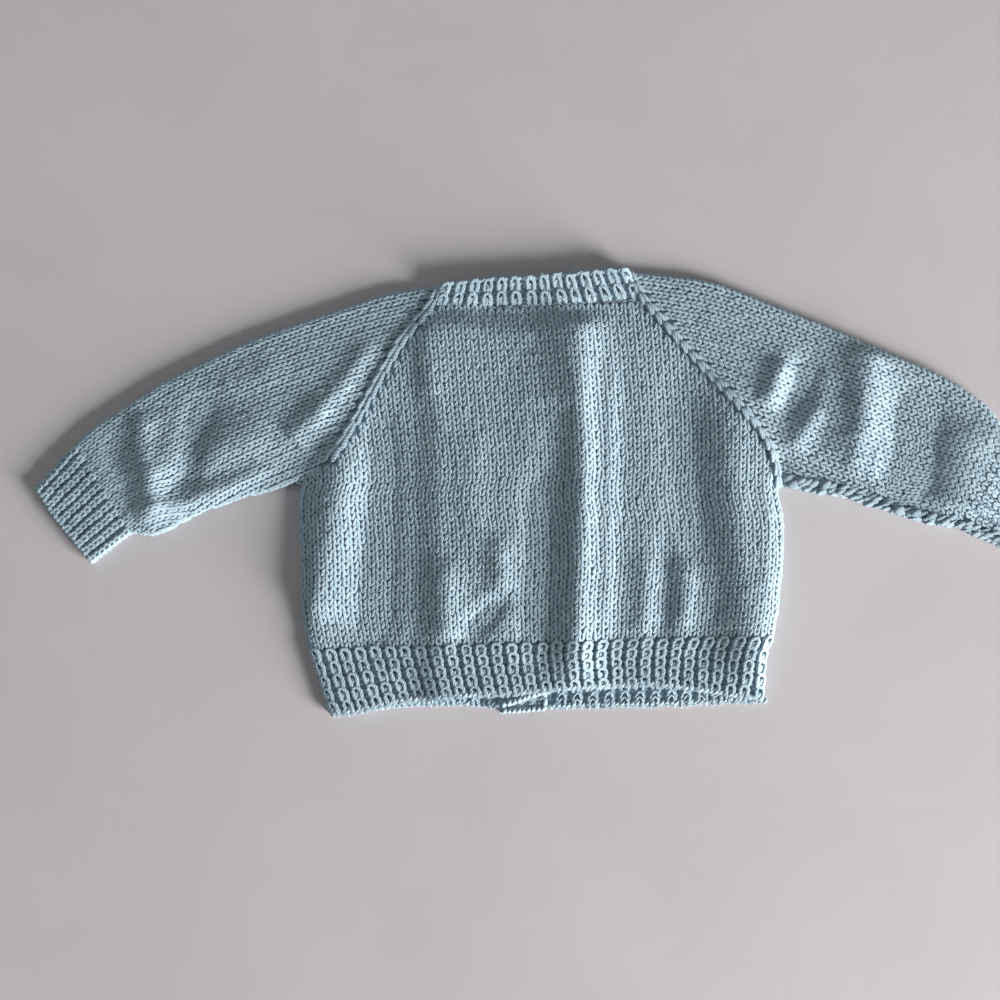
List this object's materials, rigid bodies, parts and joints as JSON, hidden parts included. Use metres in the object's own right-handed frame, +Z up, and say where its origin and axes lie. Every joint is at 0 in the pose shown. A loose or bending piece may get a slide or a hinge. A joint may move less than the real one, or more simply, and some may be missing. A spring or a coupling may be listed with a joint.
{
  "type": "baby sweater: hand-knitted raglan cardigan laid flat with its back upwards",
  "caption": "A baby's pale blue hand-knitted raglan cardigan in stocking stitch with ribbed welts, cuffs and neckband, buttoned up and laid flat with its back upwards.",
  "frame": {"origin": "on the surface the garment lies on, below the middle of its overall width and length", "axes": "+X from the wearer's left cuff to the right one, +Y from the hem to the neck, +Z up out of the back"},
  "size_m": [0.541, 0.237, 0.0097],
  "materials": {
    "yarn": "soft matt pale blue baby yarn, plied, with a light halo of fibres",
    "buttons": "satin, lightly dished"
  },
  "bodies": {
    "root": {"back_panel": "yarn", "back_welt": "yarn", "left_front": "yarn", "right_front": "yarn", "left_front_welt": "yarn", "right_front_welt": "yarn", "left_sleeve": "yarn", "right_sleeve": "yarn", "left_cuff": "yarn", "right_cuff": "yarn", "neckband": "yarn", "button_band": "yarn", "buttonhole_band": "yarn", "button_1": "buttons", "button_2": "buttons", "button_3": "buttons", "button_4": "buttons", "button_5": "buttons"}
  },
  "joints": []
}
